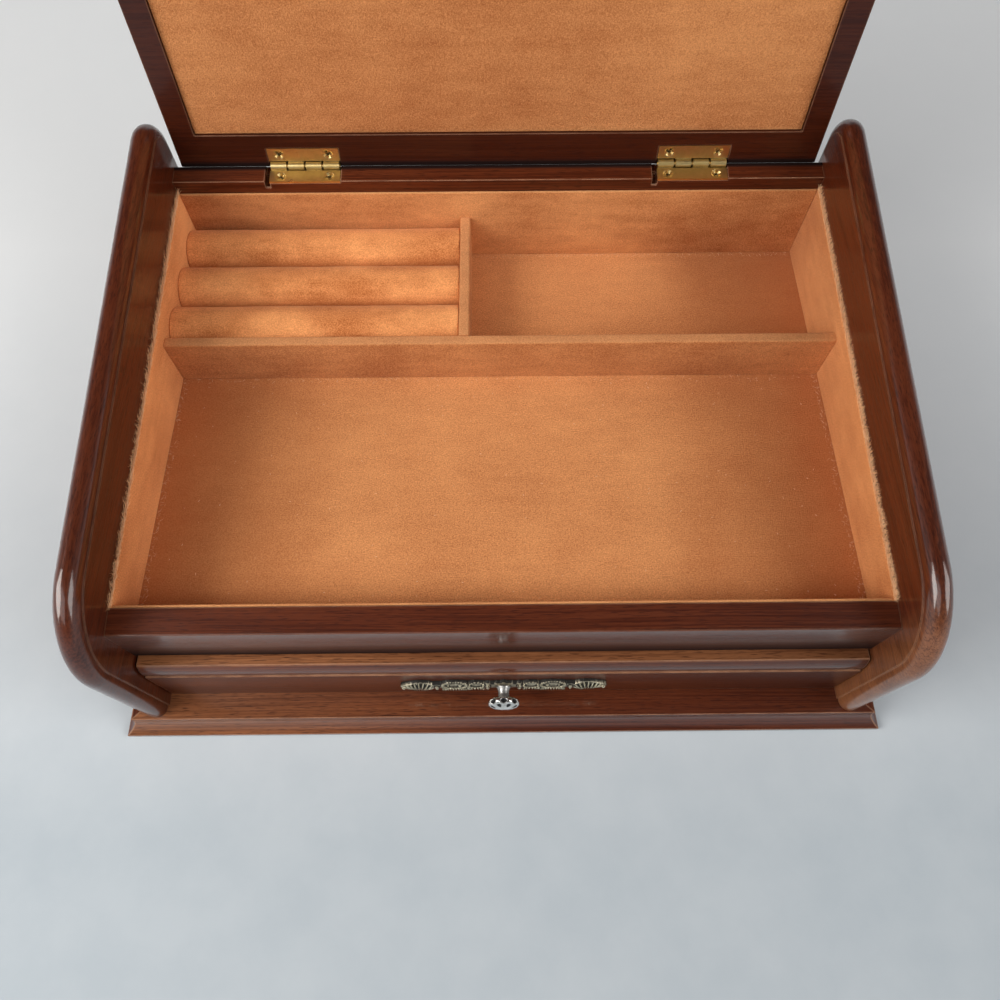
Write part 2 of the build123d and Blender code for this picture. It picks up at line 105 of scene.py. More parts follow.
# One node tree, with short calls that add a node, feed its inputs and hand back its output.
# Colours are red, green and blue
class Bench:
    def __init__(self, tree):
        self.tree = tree

    def feed(self, socket, value):
        if isinstance(value, bpy.types.NodeSocket):
            self.tree.links.new(value, socket)
        elif socket.type == "RGBA":
            socket.default_value = (*value, 1)
        else:
            socket.default_value = value

    def fill(self, sockets, feeds):
        for name, value in feeds.items():
            self.feed(sockets[name], value)

    def add(self, kind, feeds=None, **settings):
        node = self.tree.nodes.new(kind)
        node.location = (nodeSpacing * len(self.tree.nodes), 0)
        for name, value in settings.items():
            setattr(node, name, value)
        self.fill(node.inputs, feeds or {})
        return node

    def math(self, operation, *values):
        return self.add("ShaderNodeMath", dict(enumerate(values)), operation=operation).outputs[0]

    def times(self, first, second):
        return self.math("MULTIPLY", first, second)

    def weigh(self, share, first, second):
        return self.math("ADD", self.times(first, share), self.times(second, 1 - share))

    def span(self, value, low, high, toLow=0.0, toHigh=1.0):
        feeds = {"Value": value, "From Min": low, "From Max": high, "To Min": toLow, "To Max": toHigh}
        return self.add("ShaderNodeMapRange", feeds).outputs[0]

    def mix(self, share, first, second):
        return self.add("ShaderNodeMix", {0: share, 6: first, 7: second}, data_type="RGBA").outputs[2]

    def use(self, group, **feeds):
        return self.add("ShaderNodeGroup", feeds, node_tree=group).outputs

    def part(self, vector, axis):
        return self.add("ShaderNodeSeparateXYZ", {0: vector}).outputs[axis]

    def stretch(self, vector, factors):
        return self.add("ShaderNodeVectorMath", {0: vector, 1: factors}, operation="MULTIPLY").outputs[0]

    def noise(self, vector, scale, detail=2.0, rough=0.5):
        feeds = {"Vector": vector, "Scale": scale, "Detail": detail, "Roughness": rough}
        return self.add("ShaderNodeTexNoise", feeds).outputs[0]

    def bump(self, height, strength, distance, **over):
        feeds = {"Height": height, "Strength": strength, "Distance": distance, **over}
        return self.add("ShaderNodeBump", feeds).outputs[0]


def startTree(treeKind, name, inputs, outputs):
    tree = bpy.data.node_groups.new(name, treeKind)
    for direction, sockets in (("INPUT", inputs), ("OUTPUT", outputs)):
        for socketName, kind in sockets.items():
            tree.interface.new_socket(socketName, in_out=direction, socket_type="NodeSocket" + kind)
    bench = Bench(tree)
    return bench, bench.add("NodeGroupInput").outputs, bench.add("NodeGroupOutput").inputs


# Fine straight grain along X: broad figure, thin streaks and short dark pores
straightGrain = {
    "sway": (9, 22, 22),
    "layers": {
        "Figure": {"stretch": (6, 60, 60), "detail": 3, "rough": 0.5, "band": (0.3, 0.7)},
        "Streak": {"stretch": (12, 1300, 1300), "detail": 4, "rough": 0.65, "band": (0.3, 0.7)},
        "Pore": {"stretch": (190, 3200, 3200), "detail": 1, "rough": 0.5, "band": (0.56, 0.68)},
    },
}


def buildGrainGroup():
    inputs, outputs = {"Vector": "Vector", "Waviness": "Float"}, dict.fromkeys(straightGrain["layers"], "Float")
    bench, given, out = startTree("ShaderNodeTree", "straightGrain", inputs, outputs)
    sway = bench.noise(bench.stretch(given["Vector"], straightGrain["sway"]), 1, 1)
    shift = bench.times(bench.math("SUBTRACT", sway, 0.5), given["Waviness"])
    drift = bench.add("ShaderNodeCombineXYZ", {"Y": shift, "Z": shift}).outputs[0]
    run = bench.add("ShaderNodeVectorMath", {0: given["Vector"], 1: drift}, operation="ADD").outputs[0]
    for name, layer in straightGrain["layers"].items():
        speckle = bench.noise(bench.stretch(run, layer["stretch"]), 1, layer["detail"], layer["rough"])
        bench.feed(out[name], bench.span(speckle, *layer["band"]))
    return bench.tree


# Where an edge is rubbed: the rounded normal leans away from the flat one. Its lighter colour is partly wear
# and partly a painted highlight along the edge
rubbedArris = {
    "samples": 6,
    "lean": (0.004, 0.1),
    "patch": {"scale": 90, "detail": 3, "rough": 0.6},
    "patchBand": (0.3, 0.6, 0.35, 1),
}


def buildArrisGroup():
    inputs, outputs = {"Vector": "Vector", "Radius": "Float"}, {"RubbedAndHighlit": "Float", "Normal": "Vector"}
    bench, given, out = startTree("ShaderNodeTree", "rubbedArris", inputs, outputs)
    bevel = bench.add("ShaderNodeBevel", {"Radius": given["Radius"]}, samples=rubbedArris["samples"])
    rounded = bevel.outputs[0]
    flat = bench.add("ShaderNodeNewGeometry").outputs["Normal"]
    lean = bench.add("ShaderNodeVectorMath", {0: rounded, 1: flat}, operation="DOT_PRODUCT").outputs["Value"]
    edge = bench.span(bench.math("SUBTRACT", 1, lean), *rubbedArris["lean"])
    patchy = bench.span(bench.noise(given["Vector"], **rubbedArris["patch"]), *rubbedArris["patchBand"])
    bench.fill(out, {"RubbedAndHighlit": bench.times(edge, patchy), "Normal": rounded})
    return bench.tree


# Suede: brushed patches, short strokes and fine pile
suedeNap = {
    "patch": {"detail": 5, "rough": 0.6},
    "patchShare": 0.75,
    "strokeStretch": (50, 210, 210),
    "stroke": {"scale": 1, "detail": 3, "rough": 0.6},
    "brushedBand": (0.38, 0.62),
    "pile": {"scale": 1800, "detail": 3, "rough": 0.75},
    "pileBand": (0.28, 0.72),
}


def buildNapGroup():
    inputs, outputs = {"Vector": "Vector", "PatchSize": "Float"}, {"Brushed": "Float", "Pile": "Float"}
    bench, given, out = startTree("ShaderNodeTree", "suedeNap", inputs, outputs)
    patches = bench.noise(given["Vector"], given["PatchSize"], **suedeNap["patch"])
    strokes = bench.noise(bench.stretch(given["Vector"], suedeNap["strokeStretch"]), **suedeNap["stroke"])
    brushed = bench.weigh(suedeNap["patchShare"], patches, strokes)
    pile = bench.noise(given["Vector"], **suedeNap["pile"])
    bench.fill(out, {"Brushed": bench.span(brushed, *suedeNap["brushedBand"]),
                     "Pile": bench.span(pile, *suedeNap["pileBand"])})
    return bench.tree


# Old metal: dirt in the hollows, uneven polish on the crests
metalPatina = {
    "samples": 8,
    "openness": (0.35, 0.85),
    "cloud": {"detail": 3, "rough": 0.6},
    "cloudBand": (0.3, 0.7),
    "cloudDirt": 0.5,
    "dirtBand": (0.1, 0.9),
}


def buildPatinaGroup():
    inputs = {"Vector": "Vector", "Reach": "Float", "CloudSize": "Float", "Hollow": "Float"}
    bench, given, out = startTree("ShaderNodeTree", "metalPatina", inputs, {"Dirt": "Float", "Cloud": "Float"})
    nearby = bench.add("ShaderNodeAmbientOcclusion", {"Distance": given["Reach"]},
                       samples=metalPatina["samples"], only_local=True).outputs["AO"]
    cloud = bench.noise(given["Vector"], given["CloudSize"], **metalPatina["cloud"])
    sunk = bench.math("MAXIMUM", bench.span(nearby, *metalPatina["openness"], 1, 0), given["Hollow"])
    uneven = bench.times(bench.math("SUBTRACT", cloud, 0.5), metalPatina["cloudDirt"])
    bench.fill(out, {"Dirt": bench.span(bench.math("ADD", sunk, uneven), *metalPatina["dirtBand"]),
                     "Cloud": bench.span(cloud, *metalPatina["cloudBand"])})
    return bench.tree


grainGroup = buildGrainGroup()
arrisGroup = buildArrisGroup()
napGroup = buildNapGroup()
patinaGroup = buildPatinaGroup()
print("shader groups built")


def startMaterial(name, turn=0.0):
    material = bpy.data.materials.new(name)
    material.use_nodes = True
    bench = Bench(material.node_tree)
    surface = material.node_tree.nodes["Principled BSDF"].inputs
    place = bench.add("ShaderNodeTexCoord").outputs["Object"]
    if turn:
        place = bench.add("ShaderNodeMapping", {"Vector": place, "Rotation": (0, 0, turn)}).outputs[0]
    return material, bench, surface, place


# Lacquered mahogany, one finish for each board of the box; turn lays the grain along the board
mahogany = {
    "dark": (0.024, 0.0042, 0.0018),
    "middle": (0.098, 0.019, 0.0060),
    "light": (0.21, 0.056, 0.018),
    "rubbedAndHighlit": (0.50, 0.27, 0.16),
    "fadedAndLit": (0.40, 0.165, 0.066),
    "jointShade": (0.010, 0.003, 0.002),
    "figureShare": 0.38,
    "darkBand": (0.0, 0.55),
    "lightBand": (0.4, 1.0),
    "lightLeast": 0.1,
    "lightMost": 0.35,
    "fadedAndLitBand": (0.2, 0.8),
    "fadedAndLitLeast": 0.35,
    "poreShare": 0.65,
    "roughness": (0.28, 0.42),
    "rubbedRoughness": 0.2,
    "rubbedCoat": 0.3,
    "bodyShine": 0.15,
    "coatRoughness": 0.13,
    "waviness": 0.0025,
    "arris": 0.0008,
    "streakRelief": 0.4,
    "relief": (0.22, 0.0002),
    "hingeLine": (0.1049, 0.1060),
    "jointShadeReach": (0.0012, 0.0026),
}


# Share of the way between two places on an axis; X follows the grain
def boardBand(bench, place, axis, low, high):
    return bench.span(bench.part(place, axis), low, high)


# Painted shadow along the hinge line, where lid and rail meet
def hingeJointShade(bench, place):
    squares = []
    for axis, middle in zip("YZ", mahogany["hingeLine"]):
        offset = bench.math("SUBTRACT", bench.part(place, axis), middle)
        squares.append(bench.times(offset, offset))
    away = bench.math("SQRT", bench.math("ADD", *squares))
    return bench.span(away, *mahogany["jointShadeReach"], 1, 0)


def buildMahogany(name, turn=0.0, warmth=0.0, rubbingAndHighlight=0.8, coat=1.0, deep=0.0,
                  fadedAndLitBand=None, paintedShadeBand=None, shadeLineBand=None, hingeShaded=False):
    material, bench, surface, place = startMaterial(name, turn)
    grain = bench.use(grainGroup, Vector=place, Waviness=mahogany["waviness"])
    arris = bench.use(arrisGroup, Vector=place, Radius=mahogany["arris"])
    tone = bench.weigh(mahogany["figureShare"], grain["Figure"], grain["Streak"])
    middle = bench.span(tone, *mahogany["darkBand"], 0.0, 1.0 - deep)
    colour = bench.mix(middle, mahogany["dark"], mahogany["middle"])
    lightMost = (mahogany["lightMost"] + (1 - mahogany["lightMost"]) * warmth) * (1 - deep)
    light = bench.span(tone, *mahogany["lightBand"], mahogany["lightLeast"] * warmth, lightMost)
    colour = bench.mix(light, colour, mahogany["light"])
    # Paler along a band: a worn strip on the drawer front, painted light on the base and the right panel
    if fadedAndLitBand:
        *band, share = fadedAndLitBand
        lighterShare = bench.span(tone, *mahogany["fadedAndLitBand"], mahogany["fadedAndLitLeast"] * share, share)
        fadedAndLit = bench.times(boardBand(bench, place, *band), lighterShare)
        colour = bench.mix(fadedAndLit, colour, mahogany["fadedAndLit"])
    # Painted shade: the board darkens along the band, standing in for light that falls off across the front
    if paintedShadeBand:
        *band, share = paintedShadeBand
        paintedShadeShare = bench.times(boardBand(bench, place, *band), share)
        colour = bench.mix(paintedShadeShare, colour, mahogany["dark"])
    colour = bench.mix(bench.times(grain["Pore"], mahogany["poreShare"]), colour, mahogany["dark"])
    # Rubbed edges paler: partly wear, partly a painted highlight
    colour = bench.mix(bench.times(arris["RubbedAndHighlit"], rubbingAndHighlight), colour, mahogany["rubbedAndHighlit"])
    gloss = bench.span(arris["RubbedAndHighlit"], 0, 1, coat, mahogany["rubbedCoat"] * coat)
    rough = bench.math("ADD", bench.span(grain["Streak"], 0, 1, *mahogany["roughness"]),
                       bench.times(arris["RubbedAndHighlit"], mahogany["rubbedRoughness"]))
    # Painted shade: darker and duller along the hinge line on the rail and lid, and along a band at the foot of
    # the front wall
    if hingeShaded or shadeLineBand:
        jointShade = hingeJointShade(bench, place) if hingeShaded else boardBand(bench, place, *shadeLineBand)
        colour = bench.mix(jointShade, colour, mahogany["jointShade"])
        gloss = bench.times(gloss, bench.math("SUBTRACT", 1, jointShade))
        rough = bench.math("MAXIMUM", rough, jointShade)
    height = bench.times(grain["Streak"], mahogany["streakRelief"])
    height = bench.math("SUBTRACT", height, grain["Pore"])
    bench.fill(surface, {
        "Base Color": colour,
        "Roughness": rough,
        "Specular IOR Level": mahogany["bodyShine"],
        "Coat Weight": gloss,
        "Coat Roughness": mahogany["coatRoughness"],
        "Normal": bench.bump(height, *mahogany["relief"], Normal=arris["Normal"]),
    })
    return material


# Tan suede on card and foam
suede = {
    "shaded": (0.32, 0.082, 0.018),
    "lit": (0.80, 0.36, 0.135),
    "paleTopTone": (0.74, 0.40, 0.19),
    "sideShade": (0.36, 0.088, 0.022),
    "toneBand": (0.1, 0.9),
    "paleTopFacing": (0.3, 0.95),
    "paleTopLeast": 0.6,
    "sideShadeBand": (0.066, 0.130),
    "ragged": {"scale": 22, "detail": 4, "rough": 0.6},
    "raggedBand": (0.3, 0.7, -0.014, 0.014),
    "grooveShadeFacing": (0.05, 0.6),
    "roughness": (0.3, 0.7, 0.86, 1.0),
    "shine": 0.15,
    "sheen": 0.25,
    "sheenRoughness": 0.45,
    "sheenTint": (1.0, 0.68, 0.42),
    "brushedRelief": 0.8,
    "relief": (0.45, 0.0005),
}


def facingUp(bench):
    return bench.part(bench.add("ShaderNodeNewGeometry").outputs["Normal"], "Z")


def buildSuede(name, turn=0.0, gain=1.0, patchSize=15, patchy=0.35, paleTop=0.0, grooveShade=0.0, sideShade=0.0):
    material, bench, surface, place = startMaterial(name, turn)
    nap = bench.use(napGroup, Vector=place, PatchSize=patchSize)
    tone = bench.weigh(patchy, nap["Brushed"], nap["Pile"])
    shaded, lit = ([gain * part for part in suede[key]] for key in ("shaded", "lit"))
    colour = bench.mix(bench.span(tone, *suede["toneBand"]), shaded, lit)
    # Paler on faces that turn upwards, more where the pile noise is high
    if paleTop:
        paleTopShare = bench.span(nap["Pile"], 0, 1, suede["paleTopLeast"] * paleTop, paleTop)
        share = bench.times(bench.span(facingUp(bench), *suede["paleTopFacing"]), paleTopShare)
        colour = bench.mix(share, colour, suede["paleTopTone"])
    # Painted shade: the floor darkens along both side linings, standing in for their shadow
    if sideShade:
        aside = bench.math("ABSOLUTE", bench.part(place, "X"))
        ragged = bench.span(bench.noise(place, **suede["ragged"]), *suede["raggedBand"])
        edge = bench.span(bench.math("ADD", aside, ragged), *suede["sideShadeBand"], 0, sideShade)
        colour = bench.mix(edge, colour, suede["sideShade"])
    # Painted shade: the shaded tone where the surface turns away from up, in the grooves between the rolls
    if grooveShade:
        colour = bench.mix(bench.span(facingUp(bench), *suede["grooveShadeFacing"], grooveShade, 0), colour, shaded)
    height = bench.math("ADD", nap["Pile"], bench.times(nap["Brushed"], suede["brushedRelief"]))
    bench.fill(surface, {
        "Base Color": colour,
        "Roughness": bench.span(nap["Pile"], *suede["roughness"]),
        "Specular IOR Level": suede["shine"],
        "Sheen Weight": suede["sheen"],
        "Sheen Roughness": suede["sheenRoughness"],
        "Sheen Tint": suede["sheenTint"],
        "Normal": bench.bump(height, *suede["relief"]),
    })
    return material


# Dark felt under the base
feltFinish = {
    "low": (0.045, 0.032, 0.024),
    "high": (0.12, 0.088, 0.065),
    "fibres": {"scale": 900, "detail": 4, "rough": 0.7},
    "roughness": (0.3, 0.7, 0.9, 1),
    "relief": (0.5, 0.0006),
}


def buildFelt():
    material, bench, surface, place = startMaterial("feltDark")
    fibres = bench.noise(place, **feltFinish["fibres"])
    bench.fill(surface, {
        "Base Color": bench.mix(fibres, feltFinish["low"], feltFinish["high"]),
        "Roughness": bench.span(fibres, *feltFinish["roughness"]),
        "Normal": bench.bump(fibres, *feltFinish["relief"]),
    })
    return material


# Plain satin wood of the drawer box
drawerWood = {
    "dark": (0.20, 0.095, 0.040),
    "light": (0.42, 0.235, 0.110),
    "waviness": 0.008,
    "figureShare": 0.6,
    "poreShare": 0.5,
    "roughness": (0.42, 0.6),
    "relief": (0.15, 0.0002),
}


def buildDrawerWood(name, turn=0.0):
    material, bench, surface, place = startMaterial(name, turn)
    grain = bench.use(grainGroup, Vector=place, Waviness=drawerWood["waviness"])
    tone = bench.weigh(drawerWood["figureShare"], grain["Figure"], grain["Streak"])
    colour = bench.mix(tone, drawerWood["dark"], drawerWood["light"])
    pores = bench.times(grain["Pore"], drawerWood["poreShare"])
    bench.fill(surface, {
        "Base Color": bench.mix(pores, colour, drawerWood["dark"]),
        "Roughness": bench.span(grain["Streak"], 0, 1, *drawerWood["roughness"]),
        "Normal": bench.bump(grain["Streak"], *drawerWood["relief"]),
    })
    return material


# Metals: brass hinges, antique cast silver, a polished knob and plain steel
metals = {
    "hingeBrass": {"bright": (0.84, 0.63, 0.29), "dull": (0.56, 0.39, 0.145), "dirt": (0.03, 0.019, 0.008),
                   "roughness": (0.26, 0.42), "dirtReach": 0.0008, "cloudSize": 110, "cast": False},
    "castSilver": {"bright": (0.92, 0.82, 0.60), "dull": (0.40, 0.34, 0.23), "dirt": (0.012, 0.010, 0.008),
                   "roughness": (0.15, 0.36), "dirtReach": 0.0012, "cloudSize": 700, "cast": True},
    "knobSilver": {"bright": (0.90, 0.89, 0.87), "dull": (0.55, 0.54, 0.50), "dirt": (0.012, 0.012, 0.013),
                   "roughness": (0.1, 0.24), "dirtReach": 0.0016, "cloudSize": 500, "cast": True},
    "plainSteel": {"bright": (0.60, 0.60, 0.60), "dull": (0.38, 0.38, 0.39), "dirt": (0.05, 0.05, 0.05),
                   "roughness": (0.3, 0.45), "dirtReach": 0.001, "cloudSize": 300, "cast": False},
}
metalWear = {"dirtMetallic": 0.55, "dirtRoughness": 0.3, "scratch": (600, 90, 600), "relief": (0.06, 0.0002)}


def buildMetal(name):
    metal = metals[name]
    material, bench, surface, place = startMaterial(name)
    hollow = bench.add("ShaderNodeAttribute", attribute_name="hollow").outputs["Fac"] if metal["cast"] else 0.0
    patina = bench.use(patinaGroup, Vector=place, Reach=metal["dirtReach"], CloudSize=metal["cloudSize"],
                       Hollow=hollow)
    colour = bench.mix(patina["Cloud"], metal["bright"], metal["dull"])
    rough = bench.math("ADD", bench.span(patina["Cloud"], 0, 1, *metal["roughness"]),
                       bench.times(patina["Dirt"], metalWear["dirtRoughness"]))
    scratches = bench.noise(bench.stretch(place, metalWear["scratch"]), 1, 2)
    bench.fill(surface, {
        "Base Color": bench.mix(patina["Dirt"], colour, metal["dirt"]),
        "Metallic": bench.span(patina["Dirt"], 0, 1, 1, metalWear["dirtMetallic"]),
        "Roughness": rough,
        "Normal": bench.bump(scratches, *metalWear["relief"]),
    })
    return material


quarterTurn = math.pi / 2
panelLook = {"turn": quarterTurn, "warmth": 0.05, "rubbingAndHighlight": 0.22, "deep": 0.26}
materials = {
    "panelWood": buildMahogany("mahoganyPanel", **panelLook),
    # Right side panel: painted light, paler at its front end
    "rightPanelWood": buildMahogany("mahoganyRightPanel", fadedAndLitBand=("X", 0.092, 0.106, 0.5), **panelLook),
    "sideWood": buildMahogany("mahoganySideStrip", quarterTurn, warmth=0.35),
    # Front wall: painted shade, darker towards the right end, and a painted shadow line along its foot above
    # the drawer
    "wallWood": buildMahogany("mahoganyWall", warmth=0.16, deep=0.12, paintedShadeBand=("X", 0.0, 0.15, 0.35),
                              shadeLineBand=("Z", 0.071, 0.054)),
    # Rail and lid: painted shadow along the hinge line
    "railWood": buildMahogany("mahoganyRail", warmth=0.2, coat=0.38, hingeShaded=True),
    "lidWood": buildMahogany("mahoganyLid", rubbingAndHighlight=0.4, coat=0.28, deep=0.7, hingeShaded=True),
    # Drawer front: a lighter worn strip along the top, and painted shade darkening it towards the right end
    "drawerFace": buildMahogany("mahoganyDrawer", warmth=0.85, coat=0.6, fadedAndLitBand=("Z", 0.0516, 0.0526, 0.8),
                                paintedShadeBand=("X", -0.1, 0.15, 0.6)),
    # Base: painted light, paler towards the left end, and painted shade, darker towards the right end
    "baseWood": buildMahogany("mahoganyBase", warmth=0.38, deep=0.1, fadedAndLitBand=("X", 0.0, -0.15, 0.6),
                              paintedShadeBand=("X", -0.06, 0.15, 0.45)),
    # Gain is partly painted light: the left lining is painted lighter than the right one
    "floorSuede": buildSuede("suedeFloor", gain=1.14, patchy=0.22, paleTop=0.2, sideShade=0.6),
    "wallSuede": buildSuede("suedeWall", gain=1.08, patchy=0.45, paleTop=0.3),
    "leftSuede": buildSuede("suedeLeft", quarterTurn, gain=1.34, paleTop=0.3),
    "rightSuede": buildSuede("suedeRight", quarterTurn, gain=1.08, paleTop=0.3),
    "dividerSuede": buildSuede("suedeDivider", gain=1.04, paleTop=0.4),
    "rollSuede": buildSuede("suedeRoll", gain=1.3, patchSize=24, patchy=0.42, grooveShade=0.9),
    "lidSuede": buildSuede("suedeLid", gain=0.98, patchSize=9),
    "felt": buildFelt(),
    "drawerAcross": buildDrawerWood("drawerWoodAcross"),
    "drawerAlong": buildDrawerWood("drawerWoodAlong", quarterTurn),
    "brass": buildMetal("hingeBrass"),
    "castSilver": buildMetal("castSilver"),
    "knobSilver": buildMetal("knobSilver"),
    "steel": buildMetal("plainSteel"),
}
print("materials built,", len(materials))


# What each CAD node wears
nodeFinish = {
    "panelWood": ["left_side_panel"],
    "rightPanelWood": ["right_side_panel"],
    "sideWood": ["base_left_strip", "base_right_strip"],
    "wallWood": ["front_wall", "tray_floor"],
    "railWood": ["rear_wall"],
    "lidWood": ["lid_board"],
    "drawerFace": ["drawer_front"],
    "baseWood": ["base_front_strip", "base_rear_strip", "base_panel"],
    "floorSuede": ["floor_lining", "drawer_lining"],
    "wallSuede": ["rear_lining", "front_lining"],
    "leftSuede": ["left_lining"],
    "rightSuede": ["right_lining"],
    "dividerSuede": ["long_divider", "short_divider"],
    "rollSuede": ["ring_roll_rear", "ring_roll_middle", "ring_roll_front"],
    "lidSuede": ["lid_lining"],
    "felt": ["base_felt"],
    "drawerAcross": ["drawer_back", "drawer_bottom"],
    "drawerAlong": ["drawer_left_side", "drawer_right_side"],
    "brass": ["left_hinge_box_leaf", "right_hinge_box_leaf", "left_hinge_lid_leaf", "right_hinge_lid_leaf",
              "left_hinge_pin", "right_hinge_pin", "box_leaf_screws", "lid_leaf_screws"],
    "castSilver": ["drawer_backplate"],
    "knobSilver": ["drawer_knob"],
    "steel": ["knob_screw"],
}
for finish, nodeNames in nodeFinish.items():
    for nodeName in nodeNames:
        slots = frame["nodes"][nodeName].data.materials
        slots.clear()
        slots.append(materials[finish])
print("CAD nodes dressed")


# A piece that takes over from a CAD node wears what the node wore
def finishPiece(piece, nodeName, body):
    piece.data.materials.clear()
    piece.data.materials.append(frame["nodes"][nodeName].data.materials[0])
    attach(piece, body)
    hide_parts(nodeName)


mergeReach = 0.00001


def cornersOf(nodeName):
    return np.array([vertex.co for vertex in frame["nodes"][nodeName].data.vertices])


def crestOf(points, height):
    return points[height > height.max() - mergeReach].mean(0)


# Suede-covered boards: the CAD board with the soft round edges that the turned-over suede gives it
suedeBoards = {
    "edge": 0.0005,
    "edgeSteps": 3,
    "flatAngle": math.radians(1),
    "bodies": {
        "case": ["floor_lining", "left_lining", "right_lining", "rear_lining", "front_lining",
                 "long_divider", "short_divider"],
        "lid": ["lid_lining"],
        "drawer": ["drawer_lining"],
    },
}


def buildSuedeBoard(nodeName, body):
    board = bmesh.new()
    board.from_mesh(frame["nodes"][nodeName].data)
    bmesh.ops.remove_doubles(board, verts=board.verts, dist=mergeReach)
    bmesh.ops.dissolve_limit(board, angle_limit=suedeBoards["flatAngle"], verts=board.verts, edges=board.edges)
    piece = addShape("suede_" + nodeName, board)
    rounding = piece.modifiers.new("softEdge", "BEVEL")
    rounding.width = suedeBoards["edge"]
    rounding.segments = suedeBoards["edgeSteps"]
    rounding.limit_method = "ANGLE"
    rounding.harden_normals = True
    finishPiece(piece, nodeName, body)


for body, nodeNames in suedeBoards["bodies"].items():
    for nodeName in nodeNames:
        buildSuedeBoard(nodeName, body)
print("suede boards made")


# Angles round a circle, and the skin between one ring of corners and the next
def turnsOf(steps):
    return [2 * math.pi * i / steps for i in range(steps)]


def skinRings(shape, rings):
    for first, second in zip(rings, rings[1:]):
        for i in range(len(first)):
            shape.faces.new((first[i - 1], first[i], second[i], second[i - 1]))


# Ring rolls: foam under suede, round on top, drawn in towards the foot, with soft ends
ringRoll = {
    "footShare": 0.86,
    "sideSteps": 7,
    "crownSteps": 22,
    "lengthSteps": 60,
    "endRound": 0.0006,
    "reach": 0.00022,
    "endSteps": 6,
    "slack": 0.00035,
    "ripple": 46,
    "fill": 0.85,
}


def rollOutline(halfWidth, height):
    crownHeight = height - halfWidth
    points = []
    for step in range(ringRoll["sideSteps"]):
        share = step / ringRoll["sideSteps"]
        swell = (1 - ringRoll["footShare"]) * math.sin(share * quarterTurn)
        points.append((halfWidth * (ringRoll["footShare"] + swell), crownHeight * share))
    for step in range(ringRoll["crownSteps"] // 2 + 1):
        angle = math.pi * step / ringRoll["crownSteps"]
        points.append((halfWidth * math.cos(angle), crownHeight + halfWidth * math.sin(angle)))
    return points + [(-y, z) for y, z in reversed(points[:-1])]


def rollStations(low, high):
    size, steps = ringRoll["endRound"], ringRoll["lengthSteps"]
    angles = [quarterTurn * step / ringRoll["endSteps"] for step in range(ringRoll["endSteps"])]
    start = [(low + size * (1 - math.cos(angle)), size * (1 - math.sin(angle))) for angle in angles]
    span = high - low - 2 * size
    middle = [(low + size + span * step / steps, 0.0) for step in range(steps + 1)]
    finish = [(high - (x - low), inset) for x, inset in reversed(start)]
    return start + middle + finish


def buildRingRoll(nodeName):
    low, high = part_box(nodeName)
    middleY = (low.y + high.y) / 2
    halfWidth = (high.y - low.y) / 2 - ringRoll["slack"] / 2
    height = high.z - low.z
    outline = rollOutline(halfWidth, height)
    roll = bmesh.new()
    rings = []
    for x, inset in rollStations(low.x - ringRoll["reach"], high.x + ringRoll["reach"]):
        ring = []
        for y, z in outline:
            ripple = noise.noise(Vector((x, y + middleY, z)) * ringRoll["ripple"])
            dip = ringRoll["slack"] * (0.5 + 0.5 * ripple) * z / height
            across = y * (1 - inset / halfWidth - dip / halfWidth)
            upward = z * (1 - (inset + dip) / height)
            ring.append(roll.verts.new((x, middleY + across, low.z + upward)))
        rings.append(ring)
    skinRings(roll, rings)
    for ring in (rings[0], rings[-1]):
        roll.faces.new(ring)
    bmesh.ops.recalc_face_normals(roll, faces=roll.faces)
    piece = addShape("suede_" + nodeName, roll)
    finishPiece(piece, nodeName, "case")


for nodeName in nodeFinish["rollSuede"]:
    buildRingRoll(nodeName)
print("ring rolls made")


# A Geometry Nodes tree with named inputs, run once on a carrier mesh and kept as a plain mesh
def startGeometry(name, inputs):
    return startTree("GeometryNodeTree", name, {"Geometry": "Geometry", **inputs}, {"Geometry": "Geometry"})


def endGeometry(bench, out, instances, material):
    real = bench.add("GeometryNodeRealizeInstances", {"Geometry": instances}).outputs[0]
    painted = bench.add("GeometryNodeSetMaterial", {"Geometry": real, "Material": material}).outputs[0]
    bench.feed(out["Geometry"], painted)
    return bench.tree


def runGeometry(name, carrier, tree, values):
    modifier = carrier.modifiers.new(tree.name, "NODES")
    modifier.node_group = tree
    for item in tree.interface.items_tree:
        if item.name in values:
            modifier[item.identifier] = values[item.name]
    bpy.context.view_layer.update()
    evaluated = carrier.evaluated_get(bpy.context.evaluated_depsgraph_get())
    mesh = bpy.data.meshes.new_from_object(evaluated)
    mesh.name = name
    bpy.data.objects.remove(carrier)
    return addObject(name, mesh)


def carrierOf(points, edges=()):
    mesh = bpy.data.meshes.new("carrier")
    mesh.from_pydata([tuple(point) for point in points], edges, [])
    return addObject("carrier", mesh)


# Cross-head screws of the hinge leaves
crossScrew = {
    "headRadius": 0.0024,
    "proud": 0.00004,
    "rimSteps": 28,
    "dish": 0.00012,
    "lip": (0.9, 0.25),
    "crossReach": 0.78,
    "crossHalfWidth": 0.25,
    "crossDepth": 0.0016,
    "crossTaper": 0.4,
    "shankRadius": 0.00105,
    "headDepth": 0.001,
    "length": 0.0078,
    "seatSlope": math.radians(7.24),
    "seed": 4,
}


